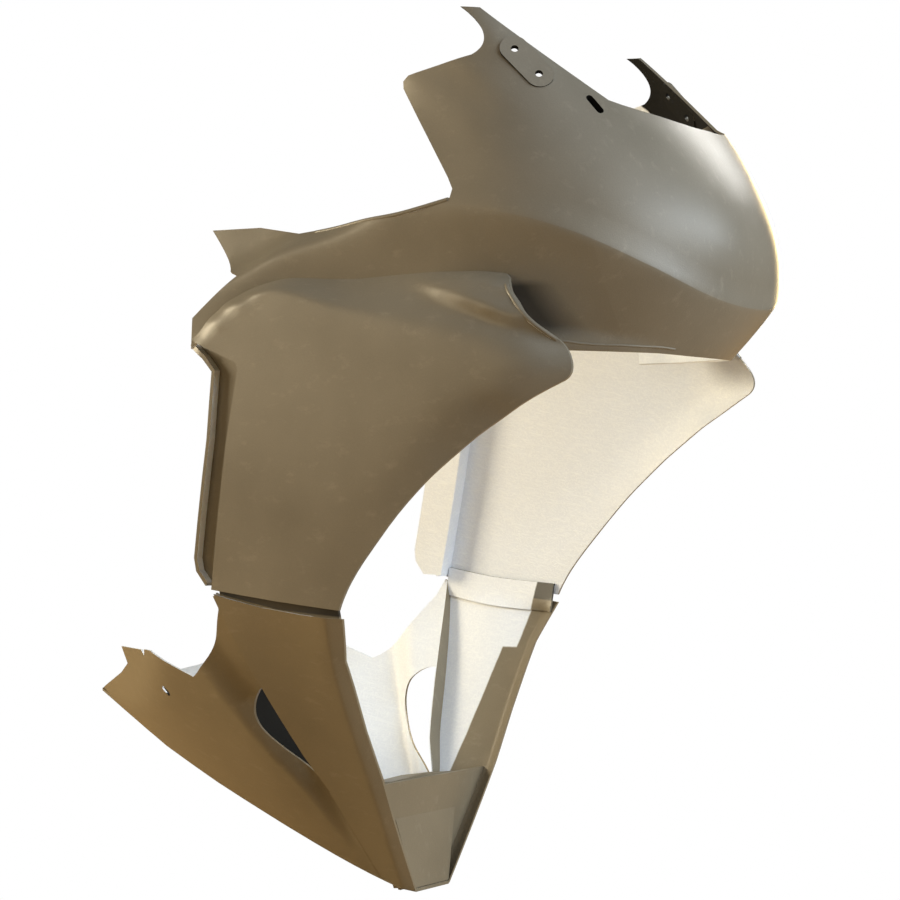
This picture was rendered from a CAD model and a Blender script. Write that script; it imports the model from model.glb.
# %% [markdown]
# # A motorcycle fairing in Blender
# The fairing is two thin glass-fibre mouldings in grey primer: an upper one with the nose cowl and the side
# panels, and a belly pan under it. The CAD frame already holds both shells, so this lesson dresses them and
# lights them. Lengths are in metres unless a comment says otherwise. X points forward, Y to the bike's left
# and Z up.

# %% Load the frame
import bpy
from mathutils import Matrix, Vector


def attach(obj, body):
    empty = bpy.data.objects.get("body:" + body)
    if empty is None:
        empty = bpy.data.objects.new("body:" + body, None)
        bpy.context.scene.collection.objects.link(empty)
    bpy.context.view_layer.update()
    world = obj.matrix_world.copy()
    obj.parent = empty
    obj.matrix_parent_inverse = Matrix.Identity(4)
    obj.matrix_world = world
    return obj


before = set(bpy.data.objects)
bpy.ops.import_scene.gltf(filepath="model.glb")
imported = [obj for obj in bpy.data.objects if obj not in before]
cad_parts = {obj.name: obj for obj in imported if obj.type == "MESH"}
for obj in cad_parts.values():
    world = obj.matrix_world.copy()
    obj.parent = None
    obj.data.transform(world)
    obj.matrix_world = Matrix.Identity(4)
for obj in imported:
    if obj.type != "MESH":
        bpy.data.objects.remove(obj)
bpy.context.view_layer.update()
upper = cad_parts["upper_fairing"]
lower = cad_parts["lower_fairing"]

# %% [markdown]
# ## Small helpers for node trees
# A material is a graph of nodes. Two helpers keep each graph short: one adds a node and sets its plain
# values, the other joins outputs to inputs. They work in materials, in node groups and in geometry trees
# alike. A third helper starts a shader group, which is a graph that several materials can share.

# %% Node helpers


def add_node(tree, kind, values=None, **settings):
    """New node with its own settings, and values for its input sockets by name or index."""
    node = tree.nodes.new(kind)
    for key, value in settings.items():
        setattr(node, key, value)
    for key, value in (values or {}).items():
        node.inputs[key].default_value = value
    return node


def join(tree, *pairs):
    """Links from output sockets to input sockets."""
    for source, target in pairs:
        tree.links.new(source, target)


def new_group(name, inputs, outputs):
    """Empty shader group with named sockets; gives the tree, its input node and its output node."""
    tree = bpy.data.node_groups.new(name, "ShaderNodeTree")
    for label, kind, value in inputs:
        socket = tree.interface.new_socket(label, in_out="INPUT", socket_type=kind)
        socket.default_value = value
    for label, kind in outputs:
        tree.interface.new_socket(label, in_out="OUTPUT", socket_type=kind)
    return tree, tree.nodes.new("NodeGroupInput"), tree.nodes.new("NodeGroupOutput")


print("helpers ready")

# %% [markdown]
# ## Which side of the shell is which
# A shell has a sprayed outside and a raw inside, but it is one closed mesh. The two sides could be painted
# by hand, face by face. It is quicker to tell them apart by where they face: outside, the normal points away
# from the middle of the bike. The dot product of the normal with the direction from the middle is positive
# there, and a narrow ramp turns that into a mask.

# %% Group: inside of a shell
FLOAT = "NodeSocketFloat"
COLOUR = "NodeSocketColor"
VECTOR = "NodeSocketVector"
SIDE_RAMP = 0.004

inside_tree, inside_in, inside_out = new_group(
    "inside_of_shell", [("Middle", VECTOR, (0, 0, 0))], [("Inside", FLOAT)]
)
coords = add_node(inside_tree, "ShaderNodeTexCoord")
from_middle = add_node(inside_tree, "ShaderNodeVectorMath", operation="SUBTRACT")
facing = add_node(inside_tree, "ShaderNodeVectorMath", operation="DOT_PRODUCT")
side = add_node(inside_tree, "ShaderNodeMapRange", {"From Min": SIDE_RAMP, "From Max": -SIDE_RAMP})
join(
    inside_tree,
    (coords.outputs["Object"], from_middle.inputs[0]),
    (inside_in.outputs["Middle"], from_middle.inputs[1]),
    (from_middle.outputs["Vector"], facing.inputs[0]),
    (coords.outputs["Normal"], facing.inputs[1]),
    (facing.outputs["Value"], side.inputs["Value"]),
    (side.outputs["Result"], inside_out.inputs["Inside"]),
)
print("group", inside_tree.name)

# %% [markdown]
# ## Sprayed primer
# Primer from a spray gun is matt and even from afar. Close up it has a fine dry grain, cloudy patches where
# the coats overlap, and paler scuffs where it was rubbed down. Three noises at three scales give that. They
# read Object coordinates, so the pattern sits still on the shell and needs no unwrapping.

# %% Group: sprayed primer
CLOUD_SHARE, SCUFF_SHARE, SPECK_SHARE = 0.12, 0.25, 0.06
CLOUD_SCALE, GRAIN_SCALE, RUB_SCALE = 7.0, 900.0, 2.2
RUB_TURN, RUB_STRETCH = (0.3, 0.2, 0.6), (18, 60, 34)
RUB_FROM, RUB_FULL = 0.56, 0.78
SCUFF_COLOUR = (0.36, 0.33, 0.27, 1)
PRIMER_SMOOTHEST, PRIMER_ROUGHEST = 0.35, 0.46
# Most of a noise lies between two values, so that stretch is mapped to the whole range.
NOISE_LOW, NOISE_HIGH = 0.3, 0.7
GRAIN_LOW, GRAIN_HIGH = 0.2, 0.8
PLAIN_PRIMER = (0.2, 0.18, 0.14, 1)

primer_tree, primer_in, primer_out = new_group(
    "sprayed_primer",
    [("Colour", COLOUR, PLAIN_PRIMER), ("Cloud", FLOAT, CLOUD_SHARE), ("Scuff", FLOAT, SCUFF_SHARE)],
    [("Colour", COLOUR), ("Roughness", FLOAT), ("Height", FLOAT)],
)
coords = add_node(primer_tree, "ShaderNodeTexCoord")
clouds = add_node(primer_tree, "ShaderNodeTexNoise", {"Scale": CLOUD_SCALE, "Detail": 4.0, "Roughness": 0.55})
grain = add_node(primer_tree, "ShaderNodeTexNoise", {"Scale": GRAIN_SCALE, "Detail": 2.0})
rub_map = add_node(primer_tree, "ShaderNodeMapping", {"Rotation": RUB_TURN, "Scale": RUB_STRETCH})
rubbed = add_node(primer_tree, "ShaderNodeTexNoise", {"Scale": RUB_SCALE, "Detail": 6.0, "Roughness": 0.7})
rub_mask = add_node(primer_tree, "ShaderNodeMapRange", {"From Min": RUB_FROM, "From Max": RUB_FULL})
shade = add_node(primer_tree, "ShaderNodeMapRange", {"From Min": NOISE_LOW, "From Max": NOISE_HIGH})
light_side = add_node(primer_tree, "ShaderNodeMath", {0: 1.0}, operation="ADD")
dark_side = add_node(primer_tree, "ShaderNodeMath", {0: 1.0}, operation="SUBTRACT")
clouded = add_node(primer_tree, "ShaderNodeVectorMath", operation="SCALE")
scuff_share = add_node(primer_tree, "ShaderNodeMath", operation="MULTIPLY")
scuffed = add_node(primer_tree, "ShaderNodeMix", {"B": SCUFF_COLOUR}, data_type="RGBA")
speck = add_node(
    primer_tree,
    "ShaderNodeMapRange",
    {"From Min": GRAIN_LOW, "From Max": GRAIN_HIGH, "To Min": 1 - SPECK_SHARE, "To Max": 1 + SPECK_SHARE},
)
specked = add_node(primer_tree, "ShaderNodeVectorMath", operation="SCALE")
rough = add_node(
    primer_tree,
    "ShaderNodeMapRange",
    {"From Min": NOISE_LOW, "From Max": NOISE_HIGH, "To Min": PRIMER_SMOOTHEST, "To Max": PRIMER_ROUGHEST},
)
join(
    primer_tree,
    (coords.outputs["Object"], clouds.inputs["Vector"]),
    (coords.outputs["Object"], grain.inputs["Vector"]),
    (coords.outputs["Object"], rub_map.inputs["Vector"]),
    (rub_map.outputs["Vector"], rubbed.inputs["Vector"]),
    (clouds.outputs["Fac"], shade.inputs["Value"]),
    (primer_in.outputs["Cloud"], light_side.inputs[1]),
    (primer_in.outputs["Cloud"], dark_side.inputs[1]),
    (dark_side.outputs["Value"], shade.inputs["To Min"]),
    (light_side.outputs["Value"], shade.inputs["To Max"]),
    (primer_in.outputs["Colour"], clouded.inputs["Vector"]),
    (shade.outputs["Result"], clouded.inputs["Scale"]),
    (rubbed.outputs["Fac"], rub_mask.inputs["Value"]),
    (rub_mask.outputs["Result"], scuff_share.inputs[0]),
    (primer_in.outputs["Scuff"], scuff_share.inputs[1]),
    (scuff_share.outputs["Value"], scuffed.inputs["Factor"]),
    (clouded.outputs["Vector"], scuffed.inputs["A"]),
    (grain.outputs["Fac"], speck.inputs["Value"]),
    (scuffed.outputs["Result"], specked.inputs["Vector"]),
    (speck.outputs["Result"], specked.inputs["Scale"]),
    (specked.outputs["Vector"], primer_out.inputs["Colour"]),
    (clouds.outputs["Fac"], rough.inputs["Value"]),
    (rough.outputs["Result"], primer_out.inputs["Roughness"]),
    (grain.outputs["Fac"], primer_out.inputs["Height"]),
)
print("group", primer_tree.name)

# %% [markdown]
# ## Chopped-strand mat
# Inside, the laminate is bare: short glass strands lie every way in pale resin. Thousands of strands could be
# modelled, but they lie flat in the resin and hardly catch the light. A noise stretched along one direction
# looks like strands of that direction, so three of them, each turned, are laid over one another.

# %% Group: glass mat
RESIN_COLOUR, STRAND_COLOUR = (0.77, 0.82, 0.91, 1), (0.84, 0.89, 0.96, 1)
STRAND_SIZE = (0.03, 0.0022, 0.0022)
STRAND_TURNS = ((0.3, 0.2, 0.1), (1.2, 0.5, 0.9), (2.2, -0.6, 1.7))
STRAND_FROM, STRAND_FULL = 0.5, 0.72
RESIN_ROUGHNESS, STRAND_ROUGHNESS = 0.55, 0.38

mat_tree, mat_in, mat_out = new_group(
    "glass_mat",
    [("Resin", COLOUR, RESIN_COLOUR), ("Strand", COLOUR, STRAND_COLOUR)],
    [("Colour", COLOUR), ("Roughness", FLOAT), ("Height", FLOAT)],
)
coords = add_node(mat_tree, "ShaderNodeTexCoord")
strands = None
for turn in STRAND_TURNS:
    turned = {"Rotation": turn, "Scale": STRAND_SIZE}
    lay = add_node(mat_tree, "ShaderNodeMapping", turned, vector_type="TEXTURE")
    fibre = add_node(mat_tree, "ShaderNodeTexNoise", {"Scale": 1.0, "Detail": 2.0, "Roughness": 0.6})
    join(
        mat_tree,
        (coords.outputs["Object"], lay.inputs["Vector"]),
        (lay.outputs["Vector"], fibre.inputs["Vector"]),
    )
    if strands is None:
        strands = fibre.outputs["Fac"]
    else:
        over = add_node(mat_tree, "ShaderNodeMath", operation="MAXIMUM")
        join(mat_tree, (strands, over.inputs[0]), (fibre.outputs["Fac"], over.inputs[1]))
        strands = over.outputs["Value"]
strand_mask = add_node(mat_tree, "ShaderNodeMapRange", {"From Min": STRAND_FROM, "From Max": STRAND_FULL})
mat_colour = add_node(mat_tree, "ShaderNodeMix", data_type="RGBA")
mat_rough = add_node(mat_tree, "ShaderNodeMapRange", {"To Min": RESIN_ROUGHNESS, "To Max": STRAND_ROUGHNESS})
join(
    mat_tree,
    (strands, strand_mask.inputs["Value"]),
    (strand_mask.outputs["Result"], mat_colour.inputs["Factor"]),
    (mat_in.outputs["Resin"], mat_colour.inputs["A"]),
    (mat_in.outputs["Strand"], mat_colour.inputs["B"]),
    (mat_colour.outputs["Result"], mat_out.inputs["Colour"]),
    (strand_mask.outputs["Result"], mat_rough.inputs["Value"]),
    (mat_rough.outputs["Result"], mat_out.inputs["Roughness"]),
    (strand_mask.outputs["Result"], mat_out.inputs["Height"]),
)
print("group", mat_tree.name)

# %% [markdown]
# ## Where the paint changes
# A screen edge gets a matt black band inside, so that it doesn't dazzle the rider, and the rear of the belly
# pan gets a black heat-proof coat. Each could be a material of its own on chosen faces, but then its border
# would follow the mesh. Here an area is everything beyond a few planes, so a group measures the distance to
# one plane and ramps over a border that can be narrow or soft. A noise makes a brushed border uneven.

# %% Group: painted beyond a plane
BRUSH_SCALE = 40.0
BRUSH_WANDER = 0.012
SHARP_BORDER = 0.0008

beyond_tree, beyond_in, beyond_out = new_group(
    "painted_beyond",
    [
        ("Direction", VECTOR, (1, 0, 0)),
        ("Distance", FLOAT, 0.0),
        ("Ragged", FLOAT, BRUSH_WANDER),
        ("Soft", FLOAT, SHARP_BORDER),
    ],
    [("Mask", FLOAT)],
)
coords = add_node(beyond_tree, "ShaderNodeTexCoord")
along = add_node(beyond_tree, "ShaderNodeVectorMath", operation="DOT_PRODUCT")
ragged = add_node(beyond_tree, "ShaderNodeTexNoise", {"Scale": BRUSH_SCALE, "Detail": 3.0})
centred = add_node(beyond_tree, "ShaderNodeMath", {1: 0.5}, operation="SUBTRACT")
wander = add_node(beyond_tree, "ShaderNodeMath", operation="MULTIPLY")
beyond = add_node(beyond_tree, "ShaderNodeMath", operation="SUBTRACT")
wandering = add_node(beyond_tree, "ShaderNodeMath", operation="ADD")
short = add_node(beyond_tree, "ShaderNodeMath", {1: -1.0}, operation="MULTIPLY")
border = add_node(beyond_tree, "ShaderNodeMapRange")
join(
    beyond_tree,
    (coords.outputs["Object"], along.inputs[0]),
    (beyond_in.outputs["Direction"], along.inputs[1]),
    (along.outputs["Value"], beyond.inputs[0]),
    (beyond_in.outputs["Distance"], beyond.inputs[1]),
    (coords.outputs["Object"], ragged.inputs["Vector"]),
    (ragged.outputs["Fac"], centred.inputs[0]),
    (centred.outputs["Value"], wander.inputs[0]),
    (beyond_in.outputs["Ragged"], wander.inputs[1]),
    (beyond.outputs["Value"], wandering.inputs[0]),
    (wander.outputs["Value"], wandering.inputs[1]),
    (wandering.outputs["Value"], border.inputs["Value"]),
    (beyond_in.outputs["Soft"], short.inputs[0]),
    (short.outputs["Value"], border.inputs["From Min"]),
    (beyond_in.outputs["Soft"], border.inputs["From Max"]),
    (border.outputs["Result"], beyond_out.inputs["Mask"]),
)
print("group", beyond_tree.name)

# %% [markdown]
# ## Cut edges
# Primer also reaches the cut edge of a hole in a side wall. Such an edge faces along the bike or up and down,
# so the sideways part of its normal is close to zero, and that is enough to find it.

# %% Group: cut edge
EDGE_SURE, EDGE_NOT = 0.06, 0.16

cut_tree, _, cut_out = new_group("cut_edge", [], [("Mask", FLOAT)])
coords = add_node(cut_tree, "ShaderNodeTexCoord")
parts = add_node(cut_tree, "ShaderNodeSeparateXYZ")
sideways = add_node(cut_tree, "ShaderNodeMath", operation="ABSOLUTE")
edge_on = add_node(
    cut_tree,
    "ShaderNodeMapRange",
    {"From Min": EDGE_SURE, "From Max": EDGE_NOT, "To Min": 1.0, "To Max": 0.0},
)
join(
    cut_tree,
    (coords.outputs["Normal"], parts.inputs["Vector"]),
    (parts.outputs["Y"], sideways.inputs[0]),
    (sideways.outputs["Value"], edge_on.inputs["Value"]),
    (edge_on.outputs["Result"], cut_out.inputs["Mask"]),
)
print("group", cut_tree.name)

# %% [markdown]
# ## A flare over the nose ridge
# Just over the ridge round the nose the cheek turns outward a little, which gives the ridge its bright upper
# side. The turn is only a few degrees, so a bump does it and the shell's mesh stays as it is. A Float Curve
# gives the height of the ridge for each position along the bike, and the bump rises as the square of the
# nearness to it.

# %% Group: ridge flare
FLARE_BACK, FLARE_FRONT = 0.20, 0.41
FLARE_LOW, FLARE_HIGH = 0.55, 0.66
FLARE_REACH = 0.026
FLARE_RISE = 0.0040
FLARE_FADE_FROM, FLARE_FADE_FULL = 0.1, 0.55
# The ridge seen from the side: places from back to front and heights, as shares of the ranges above.
RIDGE_LINE = [(0.0, 0.955), (0.4, 0.773), (0.729, 0.455), (0.938, 0.145), (1.0, 0.06)]

flare_tree, _, flare_out = new_group("ridge_flare", [], [("Height", FLOAT)])
coords = add_node(flare_tree, "ShaderNodeTexCoord")
place = add_node(flare_tree, "ShaderNodeSeparateXYZ")
along = add_node(flare_tree, "ShaderNodeMapRange", {"From Min": FLARE_BACK, "From Max": FLARE_FRONT})
line = add_node(flare_tree, "ShaderNodeFloatCurve")
points = line.mapping.curves[0].points
points[0].location = RIDGE_LINE[0]
points[1].location = RIDGE_LINE[-1]
for spot in RIDGE_LINE[1:-1]:
    points.new(*spot)
line.mapping.update()
crest = add_node(flare_tree, "ShaderNodeMapRange", {"To Min": FLARE_LOW, "To Max": FLARE_HIGH})
over = add_node(flare_tree, "ShaderNodeMath", operation="SUBTRACT")
near = add_node(flare_tree, "ShaderNodeMapRange", {"From Max": FLARE_REACH, "To Min": 1.0, "To Max": 0.0})
squared = add_node(flare_tree, "ShaderNodeMath", operation="MULTIPLY")
fade = add_node(
    flare_tree,
    "ShaderNodeMapRange",
    {"From Min": FLARE_FADE_FROM, "From Max": FLARE_FADE_FULL, "To Max": FLARE_RISE},
)
height = add_node(flare_tree, "ShaderNodeMath", operation="MULTIPLY")
join(
    flare_tree,
    (coords.outputs["Object"], place.inputs["Vector"]),
    (place.outputs["X"], along.inputs["Value"]),
    (along.outputs["Result"], line.inputs["Value"]),
    (line.outputs["Value"], crest.inputs["Value"]),
    (place.outputs["Z"], over.inputs[0]),
    (crest.outputs["Result"], over.inputs[1]),
    (over.outputs["Value"], near.inputs["Value"]),
    (near.outputs["Result"], squared.inputs[0]),
    (near.outputs["Result"], squared.inputs[1]),
    (along.outputs["Result"], fade.inputs["Value"]),
    (squared.outputs["Value"], height.inputs[0]),
    (fade.outputs["Result"], height.inputs[1]),
    (height.outputs["Value"], flare_out.inputs["Height"]),
)
print("group", flare_tree.name)

# %% [markdown]
# ## The shell materials
# Each moulding gets one material: primer outside, glass mat inside, black paint on part of the inside. The
# groups give colours, roughness and height; the Principled shader and the Bump nodes stay in the material
# itself. First come the masks. An area of paint is whatever lies beyond each of a few planes, so its mask is
# the product of their masks, and several areas make one mask by taking the greatest.

# %% Masks of painted areas


def chain(tree, operation, sockets):
    """One socket from several, joined two by two with a Math node."""
    result = sockets[0]
    for socket in sockets[1:]:
        node = add_node(tree, "ShaderNodeMath", operation=operation)
        join(tree, (result, node.inputs[0]), (socket, node.inputs[1]))
        result = node.outputs["Value"]
    return result


def painted(tree, areas, ragged):
    """Mask socket of some areas, each of them whatever lies beyond all of its planes."""
    area_masks = []
    for planes in areas:
        plane_masks = []
        for direction, distance, *soft in planes:
            mask = add_node(tree, "ShaderNodeGroup", node_tree=beyond_tree)
            mask.inputs["Direction"].default_value = direction
            mask.inputs["Distance"].default_value = distance
            mask.inputs["Ragged"].default_value = ragged
            if soft:
                mask.inputs["Soft"].default_value = soft[0]
            plane_masks.append(mask.outputs["Mask"])
        area_masks.append(chain(tree, "MULTIPLY", plane_masks))
    return chain(tree, "MAXIMUM", area_masks)


print("masks ready")

# %% [markdown]
# ## Layers of one shell
# The layers lie over one another as on the real moulding. Inside, bare laminate comes first and black paint
# over it. Outside is primer, darkened in the deep corner of the scoop and along the strip in the joint, where
# hardly any light gets in. A Mix node for each of colour, roughness, gloss and height picks the side.

# %% Shell material
PRIMER_GLOSS, BLACK_GLOSS = 0.4, 0.1
BLACK_ROUGHNESS = 0.9
BLACK_PAINT = (0.012, 0.012, 0.012, 1)
DEEP_SHADE = (0.036, 0.034, 0.031, 1)
SPRAY_WANDER = 0.002
GRAIN_STRENGTH, GRAIN_DEPTH = 0.25, 0.0004


def shell_material(name, primer, middle, black, sprayed, dark, cuts):
    """Primer outside with dark areas; laminate inside with areas of black, of primer and of primed edges."""
    material = bpy.data.materials.new(name)
    material.use_nodes = True
    tree = material.node_tree
    tree.nodes.clear()
    out = add_node(tree, "ShaderNodeOutputMaterial")
    shader = add_node(tree, "ShaderNodeBsdfPrincipled")
    flare = add_node(tree, "ShaderNodeGroup", node_tree=flare_tree)
    flare_bump = add_node(tree, "ShaderNodeBump", {"Strength": 1.0, "Distance": 1.0})
    bump = add_node(tree, "ShaderNodeBump", {"Strength": GRAIN_STRENGTH, "Distance": GRAIN_DEPTH})
    outside = add_node(tree, "ShaderNodeGroup", node_tree=primer_tree)
    outside.inputs["Colour"].default_value = primer
    laminate = add_node(tree, "ShaderNodeGroup", node_tree=mat_tree)
    inside = add_node(tree, "ShaderNodeGroup", node_tree=inside_tree)
    inside.inputs["Middle"].default_value = middle
    edge = add_node(tree, "ShaderNodeGroup", node_tree=cut_tree)
    trimmed = chain(tree, "MULTIPLY", [painted(tree, cuts, 0.0), edge.outputs["Mask"]])
    primed = chain(tree, "MAXIMUM", [painted(tree, sprayed, SPRAY_WANDER), trimmed])
    bare = add_node(tree, "ShaderNodeMath", {0: 1.0}, operation="SUBTRACT", use_clamp=True)
    lined = add_node(tree, "ShaderNodeMath", operation="MULTIPLY")
    lining = add_node(tree, "ShaderNodeMix", {"B": BLACK_PAINT}, data_type="RGBA")
    colour = add_node(tree, "ShaderNodeMix", data_type="RGBA")
    darkened = add_node(tree, "ShaderNodeMix", {"B": DEEP_SHADE}, data_type="RGBA")
    lining_rough = add_node(tree, "ShaderNodeMix", {"B": BLACK_ROUGHNESS}, data_type="FLOAT")
    lining_gloss = add_node(tree, "ShaderNodeMix", {"A": PRIMER_GLOSS, "B": BLACK_GLOSS}, data_type="FLOAT")
    gloss = add_node(tree, "ShaderNodeMix", {"A": PRIMER_GLOSS}, data_type="FLOAT")
    blackened = painted(tree, black, BRUSH_WANDER)
    rough = add_node(tree, "ShaderNodeMix", data_type="FLOAT")
    height = add_node(tree, "ShaderNodeMix", data_type="FLOAT")
    join(
        tree,
        (primed, bare.inputs[1]),
        (inside.outputs["Inside"], lined.inputs[0]),
        (bare.outputs["Value"], lined.inputs[1]),
        (blackened, lining.inputs["Factor"]),
        (blackened, lining_rough.inputs["Factor"]),
        (blackened, lining_gloss.inputs["Factor"]),
        (laminate.outputs["Roughness"], lining_rough.inputs["A"]),
        (lined.outputs["Value"], gloss.inputs["Factor"]),
        (lining_gloss.outputs["Result"], gloss.inputs["B"]),
        (gloss.outputs["Result"], shader.inputs["Specular IOR Level"]),
        (laminate.outputs["Colour"], lining.inputs["A"]),
        (lined.outputs["Value"], colour.inputs["Factor"]),
        (darkened.outputs["Result"], colour.inputs["A"]),
        (lining.outputs["Result"], colour.inputs["B"]),
        (painted(tree, dark, 0.0), darkened.inputs["Factor"]),
        (outside.outputs["Colour"], darkened.inputs["A"]),
        (lined.outputs["Value"], rough.inputs["Factor"]),
        (outside.outputs["Roughness"], rough.inputs["A"]),
        (lining_rough.outputs["Result"], rough.inputs["B"]),
        (lined.outputs["Value"], height.inputs["Factor"]),
        (outside.outputs["Height"], height.inputs["A"]),
        (laminate.outputs["Height"], height.inputs["B"]),
        (flare.outputs["Height"], flare_bump.inputs["Height"]),
        (flare_bump.outputs["Normal"], bump.inputs["Normal"]),
        (height.outputs["Result"], bump.inputs["Height"]),
        (colour.outputs["Result"], shader.inputs["Base Color"]),
        (rough.outputs["Result"], shader.inputs["Roughness"]),
        (bump.outputs["Normal"], shader.inputs["Normal"]),
        (shader.outputs["BSDF"], out.inputs["Surface"]),
    )
    return material


print("material maker ready")

# %% [markdown]
# ## The areas of paint
# An area is a list of planes, each with the direction it faces and its distance from the origin in metres. A
# third value makes its border soft. Everything beyond all the planes of an area is in it. The primer of the
# belly pan is a little warmer than that of the upper moulding.

# %% Paint areas and the two materials
UPPER_PRIMER = (0.176, 0.157, 0.124, 1)
LOWER_PRIMER = (0.195, 0.164, 0.114, 1)
UPPER_MIDDLE, LOWER_MIDDLE = (0.10, 0.0, 0.52), (-0.08, 0.0, 0.30)
FRONT, BACK = (1.0, 0.0, 0.0), (-1.0, 0.0, 0.0)
LEFT, RIGHT = (0.0, 1.0, 0.0), (0.0, -1.0, 0.0)
UP, DOWN = (0.0, 0.0, 1.0), (0.0, 0.0, -1.0)
ARM_RAKE = (1.0, 0.0, -0.15)
FAR_AWAY = 9.0
NOWHERE = [[(FRONT, FAR_AWAY)]]
SCREEN_BAND = [[((0.629, 0.0, 0.777), 0.735)]]
HEAT_COAT = [[(BACK, 0.16), (DOWN, -0.193)]]
SCOOP_DEPTH = [
    [
        ((-0.907, 0.0, -0.421), -0.481, 0.014),
        (FRONT, 0.205, 0.003),
        (LEFT, -0.168, 0.003),
        (RIGHT, -0.168, 0.003),
        (DOWN, -0.586, 0.003),
        (UP, 0.541, 0.007),
    ]
]
ARM_TOPS = [(ARM_RAKE, -0.003)]
ARM_FEET = [(ARM_RAKE, -0.020), (DOWN, -0.232)]
JOINT_STRIP = [[((0.07, 0.0, 1.0), 0.2862), ((0.19, 0.0, 1.0), 0.2855)]]
VENT_SLOT = [[(FRONT, -0.12), (BACK, 0.01), (UP, 0.09), (DOWN, -0.23)]]

upper_material = shell_material(
    "upper_shell",
    UPPER_PRIMER,
    UPPER_MIDDLE,
    black=SCREEN_BAND,
    sprayed=NOWHERE,
    dark=SCOOP_DEPTH,
    cuts=NOWHERE,
)
lower_material = shell_material(
    "lower_shell",
    LOWER_PRIMER,
    LOWER_MIDDLE,
    black=HEAT_COAT,
    sprayed=[ARM_TOPS, ARM_FEET],
    dark=JOINT_STRIP,
    cuts=VENT_SLOT,
)
for shell, material in ((upper, upper_material), (lower, lower_material)):
    shell.data.materials.clear()
    shell.data.materials.append(material)
    print(shell.name, "wears", material.name)

# %% [markdown]
# ## Rolled rims
# On each side, three edges of the upper moulding are turned over into a small round bead: the mouth of the
# scoop, the lip under the nose and the edge of the cockpit. A bead follows a path, which suits Geometry
# Nodes. One tree turns any mesh of edges into a bead: the edges become a smooth curve, the curve gets points
# at an even spacing, and a circle is swept along it.

# %% Geometry Nodes: a tube along a line
RIM_SIDES = 10
RIM_INPUTS = (
    ("Line", "NodeSocketGeometry"),
    ("Radius", FLOAT),
    ("Spacing", FLOAT),
    ("Material", "NodeSocketMaterial"),
)
rim_tree = bpy.data.node_groups.new("rolled_rim", "GeometryNodeTree")
rim_sockets = {}
for label, kind in RIM_INPUTS:
    rim_sockets[label] = rim_tree.interface.new_socket(label, in_out="INPUT", socket_type=kind).identifier
rim_tree.interface.new_socket("Tube", in_out="OUTPUT", socket_type="NodeSocketGeometry")
rim_in = rim_tree.nodes.new("NodeGroupInput")
rim_out = rim_tree.nodes.new("NodeGroupOutput")
to_curve = add_node(rim_tree, "GeometryNodeMeshToCurve")
spline = add_node(rim_tree, "GeometryNodeCurveSplineType", spline_type="CATMULL_ROM")
evenly = add_node(rim_tree, "GeometryNodeResampleCurve", mode="LENGTH")
ring = add_node(rim_tree, "GeometryNodeCurvePrimitiveCircle", {"Resolution": RIM_SIDES})
tube = add_node(rim_tree, "GeometryNodeCurveToMesh", {"Fill Caps": True})
smooth = add_node(rim_tree, "GeometryNodeSetShadeSmooth")
realize = add_node(rim_tree, "GeometryNodeRealizeInstances")
coat = add_node(rim_tree, "GeometryNodeSetMaterial")
join(
    rim_tree,
    (rim_in.outputs["Line"], to_curve.inputs["Mesh"]),
    (to_curve.outputs["Curve"], spline.inputs["Curve"]),
    (spline.outputs["Curve"], evenly.inputs["Curve"]),
    (rim_in.outputs["Spacing"], evenly.inputs["Length"]),
    (evenly.outputs["Curve"], tube.inputs["Curve"]),
    (rim_in.outputs["Radius"], ring.inputs["Radius"]),
    (ring.outputs["Curve"], tube.inputs["Profile Curve"]),
    (tube.outputs["Mesh"], smooth.inputs["Geometry"]),
    (smooth.outputs["Geometry"], realize.inputs["Geometry"]),
    (realize.outputs["Geometry"], coat.inputs["Geometry"]),
    (rim_in.outputs["Material"], coat.inputs["Material"]),
    (coat.outputs["Geometry"], rim_out.inputs["Tube"]),
)
print("tree", rim_tree.name, "with", len(rim_tree.nodes), "nodes")

# %% [markdown]
# ## Lines on the shell
# A bead needs a line that lies on the shell. Where the line is known from the side, a ray cast sideways finds
# the shell at each point. Where another panel is in the way, the nearest place on the shell to a point in
# space is found. Only the right side is given, and the left side is its mirror image.

# %% Lines of both sides
MM_PER_M = 1000
RIGHT_OF_BIKE = -1.0


def line_on_shell(shell, side_points, sunk):
    """Points on a shell's right outside under side-view points in millimetres, sunk a little into it."""
    places = []
    for x, z in side_points:
        start = Vector((x / MM_PER_M, RIGHT_OF_BIKE, z / MM_PER_M))
        hit, place, normal, _ = shell.ray_cast(start, Vector(LEFT))
        if hit:
            places.append(place - normal * sunk)
    return places


def line_near_shell(shell, points, sunk):
    """The nearest places on a shell to some points in millimetres, sunk a little into it."""
    places = []
    for point in points:
        found, place, normal, _ = shell.closest_point_on_mesh(Vector(point) / MM_PER_M)
        if found:
            places.append(place - normal * sunk)
    return places


def both_sides(line):
    """A line of the right side and its mirror image."""
    return [line, [Vector((place.x, -place.y, place.z)) for place in line]]


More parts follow.
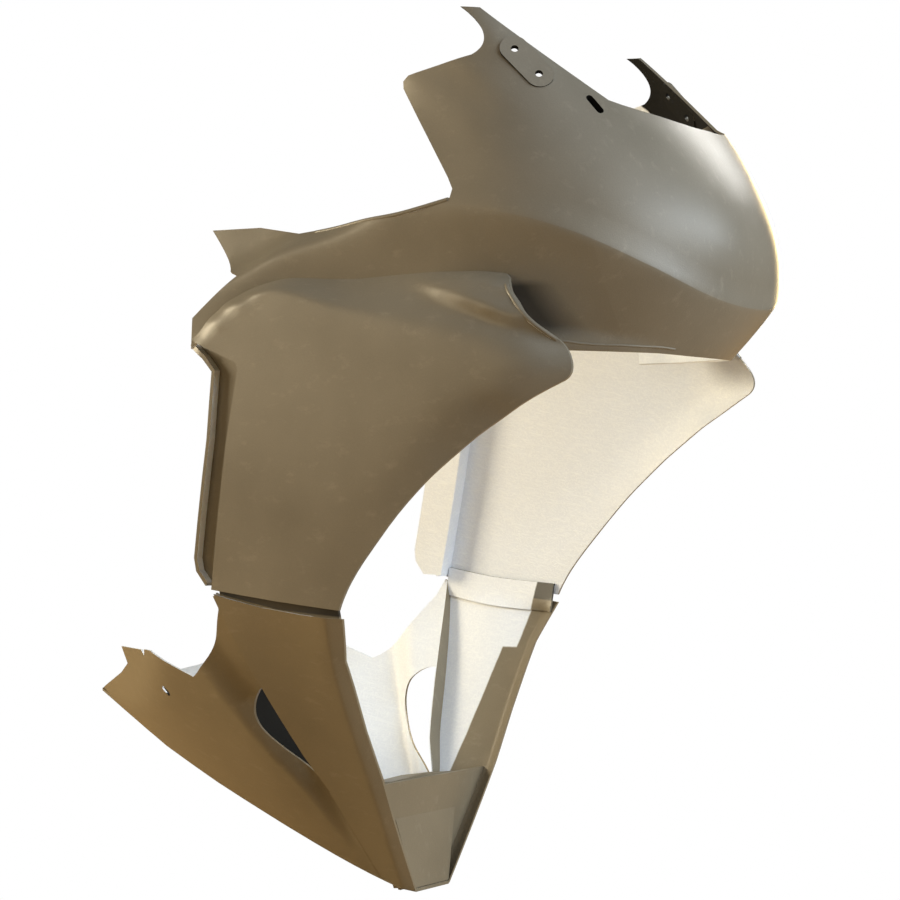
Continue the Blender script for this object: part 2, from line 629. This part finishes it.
# Points in millimetres: x and z of a line seen from the side, or x, y and z.
MOUTH_LINE = [(243, 583), (251, 573.5), (271, 551), (293, 532)]
NOSE_LINE = [(262, -136, 535), (273, -128, 534), (284, -121, 532), (298, -110, 531), (313, -99, 530.5)]
NOSE_LINE += [(326, -87, 529.7), (339, -73, 529), (347, -60, 527.7)]
COCKPIT_LINE = [(183, 662.5), (132, 653), (90, 650), (49, 646.8), (20, 645)]
MOUTH_SUNK, NOSE_SUNK, COCKPIT_SUNK = 0.0008, 0.0006, 0.0012
mouth = both_sides(line_on_shell(upper, MOUTH_LINE, MOUTH_SUNK))
nose = both_sides(line_near_shell(upper, NOSE_LINE, NOSE_SUNK))
cockpit = both_sides(line_on_shell(upper, COCKPIT_LINE, COCKPIT_SUNK))
print("points found:", len(mouth[0]), len(nose[0]), len(cockpit[0]))

# %% [markdown]
# ## Beads along the lines
# The lines go into a mesh that has only edges, and the tree makes the tube. The modifier's inputs are set by
# the identifiers of their sockets. The result is copied into a plain mesh, so that no modifier is left on the
# finished bead, and it wears the paint of the moulding that it belongs to.

# %% Rims
RIM_SPACING = 0.004


def rim(name, lines, radius, material):
    """One piece made of a tube along each of some lines."""
    mesh = bpy.data.meshes.new(name + "_lines")
    verts = [place for line in lines for place in line]
    edges = []
    start = 0
    for line in lines:
        edges += [(start + i, start + i + 1) for i in range(len(line) - 1)]
        start += len(line)
    mesh.from_pydata(verts, edges, [])
    draft = bpy.data.objects.new(name + "_draft", mesh)
    bpy.context.scene.collection.objects.link(draft)
    modifier = draft.modifiers.new("rolled_rim", "NODES")
    modifier.node_group = rim_tree
    for label, value in (("Radius", radius), ("Spacing", RIM_SPACING), ("Material", material)):
        modifier[rim_sockets[label]] = value
    shape = bpy.data.meshes.new_from_object(draft.evaluated_get(bpy.context.evaluated_depsgraph_get()))
    bpy.data.objects.remove(draft)
    piece = bpy.data.objects.new(name, shape)
    bpy.context.scene.collection.objects.link(piece)
    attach(piece, "root")
    print(name, len(shape.polygons), "faces")


MOUTH_RADIUS, NOSE_RADIUS, COCKPIT_RADIUS = 0.0021, 0.0013, 0.0022
rim("scoop_rim", mouth, MOUTH_RADIUS, upper_material)
rim("nose_rim", nose, NOSE_RADIUS, upper_material)
rim("cockpit_rim", cockpit, COCKPIT_RADIUS, upper_material)

# %% [markdown]
# ## Floor
# The photograph is a cut-out on white, so the floor is white to the camera. The Light Path node picks out
# camera rays, and rays that come through something clear. For the others the floor is a warm matt surface, so
# that it throws a soft light back on the shells. It lies a little under the part, so that the two never share
# a plane.

# %% Floor
FLOOR_HALF = 6.0
FLOOR_DROP = -0.002
FLOOR_BOUNCE = (0.45, 0.31, 0.16, 1)
WHITE = (1, 1, 1, 1)
bpy.context.scene.view_settings.view_transform = "Standard"
floor_mesh = bpy.data.meshes.new("floor")
corners = [(-FLOOR_HALF, -FLOOR_HALF, FLOOR_DROP), (FLOOR_HALF, -FLOOR_HALF, FLOOR_DROP)]
corners += [(FLOOR_HALF, FLOOR_HALF, FLOOR_DROP), (-FLOOR_HALF, FLOOR_HALF, FLOOR_DROP)]
floor_mesh.from_pydata(corners, [], [(0, 1, 2, 3)])
floor = bpy.data.objects.new("floor", floor_mesh)
bpy.context.scene.collection.objects.link(floor)
floor_material = bpy.data.materials.new("pale_floor")
floor_material.use_nodes = True
tree = floor_material.node_tree
tree.nodes.clear()
out = add_node(tree, "ShaderNodeOutputMaterial")
matt = add_node(tree, "ShaderNodeBsdfDiffuse", {"Color": FLOOR_BOUNCE})
white = add_node(tree, "ShaderNodeEmission", {"Color": WHITE, "Strength": 1.0})
seen = add_node(tree, "ShaderNodeLightPath")
choose = add_node(tree, "ShaderNodeMixShader")
either = add_node(tree, "ShaderNodeMath", operation="MAXIMUM")
join(
    tree,
    (seen.outputs["Is Camera Ray"], either.inputs[0]),
    (seen.outputs["Is Transmission Ray"], either.inputs[1]),
    (either.outputs["Value"], choose.inputs["Fac"]),
    (matt.outputs["BSDF"], choose.inputs[1]),
    (white.outputs["Emission"], choose.inputs[2]),
    (choose.outputs["Shader"], out.inputs["Surface"]),
)
floor_mesh.materials.append(floor_material)
print("floor", 2 * FLOOR_HALF, "m wide")

# %% [markdown]
# ## World
# The world could be one plain colour, but then the camera would see the colour that lights the part. So it
# is white to the camera, as the floor is, and a dim warm studio for every other ray.

# %% World
STUDIO_COLOUR, STUDIO_STRENGTH = (1, 0.82, 0.58, 1), 0.12
world = bpy.data.worlds.new("studio")
bpy.context.scene.world = world
world.use_nodes = True
tree = world.node_tree
tree.nodes.clear()
out = add_node(tree, "ShaderNodeOutputWorld")
studio = add_node(tree, "ShaderNodeBackground", {"Color": STUDIO_COLOUR, "Strength": STUDIO_STRENGTH})
white = add_node(tree, "ShaderNodeBackground", {"Color": WHITE, "Strength": 1.0})
seen = add_node(tree, "ShaderNodeLightPath")
choose = add_node(tree, "ShaderNodeMixShader")
join(
    tree,
    (seen.outputs["Is Camera Ray"], choose.inputs["Fac"]),
    (studio.outputs["Background"], choose.inputs[1]),
    (white.outputs["Background"], choose.inputs[2]),
    (choose.outputs["Shader"], out.inputs["Surface"]),
)
print("world", world.name)

# %% [markdown]
# ## Lamps
# Seven area lamps light the fairing. A wide cool window in front lights the nose, a low one fills under it
# and a panel overhead fills from above. Three warm lamps stand beside and behind the part, and a narrow strip
# makes the streak on the nose. A lamp shines along its own -Z axis, so each is turned until that axis meets
# the middle of the part.

# %% Lamps


def soft_lamp(name, place, aim, size, power, colour, tall=None):
    """Area lamp at a place, turned to face a point: a square, or a strip where it has a height."""
    data = bpy.data.lights.new(name, "AREA")
    data.size = size
    if tall:
        data.shape = "RECTANGLE"
        data.size_y = tall
    data.energy = power
    data.color = colour
    lamp = bpy.data.objects.new(name, data)
    lamp.location = place
    lamp.rotation_euler = (Vector(aim) - Vector(place)).to_track_quat("-Z", "Y").to_euler()
    bpy.context.scene.collection.objects.link(lamp)
    return lamp


MIDDLE = (0.0, 0.0, 0.45)
# Each has its name, place, aim, width, power in watts and colour, and a strip has its height too.
lamps = [
    soft_lamp("front_window", (3.0, 0.0, 1.9), MIDDLE, 3.2, 108, (0.82, 0.92, 1.0), tall=0.6),
    soft_lamp("low_window", (2.6, -0.5, 0.25), MIDDLE, 1.2, 22, (0.8, 0.92, 1.0)),
    soft_lamp("sky_panel", (0.8, -1.0, 3.3), MIDDLE, 2.0, 12, (0.9, 0.95, 1.0)),
    soft_lamp("side_fill", (-1.0, -3.0, 1.0), MIDDLE, 1.6, 13, (1.0, 0.76, 0.42)),
    soft_lamp("rear_glow", (-2.4, -1.2, 1.2), MIDDLE, 1.0, 80, (1.0, 0.86, 0.60)),
    soft_lamp("rim_glow", (-0.45, 2.8, 1.0), MIDDLE, 0.8, 52, (1.0, 0.75, 0.36)),
    soft_lamp("nose_streak", (0.75, 2.6, 2.6), MIDDLE, 0.12, 44, (1.0, 0.98, 0.94), tall=1.1),
]
print(len(lamps), "lamps")

# %% [markdown]
# ## Camera
# The camera stands to the bike's right front, level, about half as high as the part is tall, with a long
# lens. A small shift of the lens sets the height of the part in the picture without tilting the camera, so
# upright lines stay upright.

# %% Camera
CAMERA_PLACE = (1.346, -1.907, 0.402)
CAMERA_AIM = (0.060, 0.0, 0.402)
SENSOR_WIDTH, LENS = 36.0, 92.0
LENS_SHIFT = 0.042
camera_data = bpy.data.cameras.new("photo_camera")
camera_data.sensor_width = SENSOR_WIDTH
camera_data.lens = LENS
camera_data.shift_y = LENS_SHIFT
camera = bpy.data.objects.new("photo_camera", camera_data)
camera.location = CAMERA_PLACE
camera.rotation_euler = (Vector(CAMERA_AIM) - Vector(CAMERA_PLACE)).to_track_quat("-Z", "Y").to_euler()
bpy.context.scene.collection.objects.link(camera)
bpy.context.scene.camera = camera
print("camera", [round(v, 3) for v in camera.location])
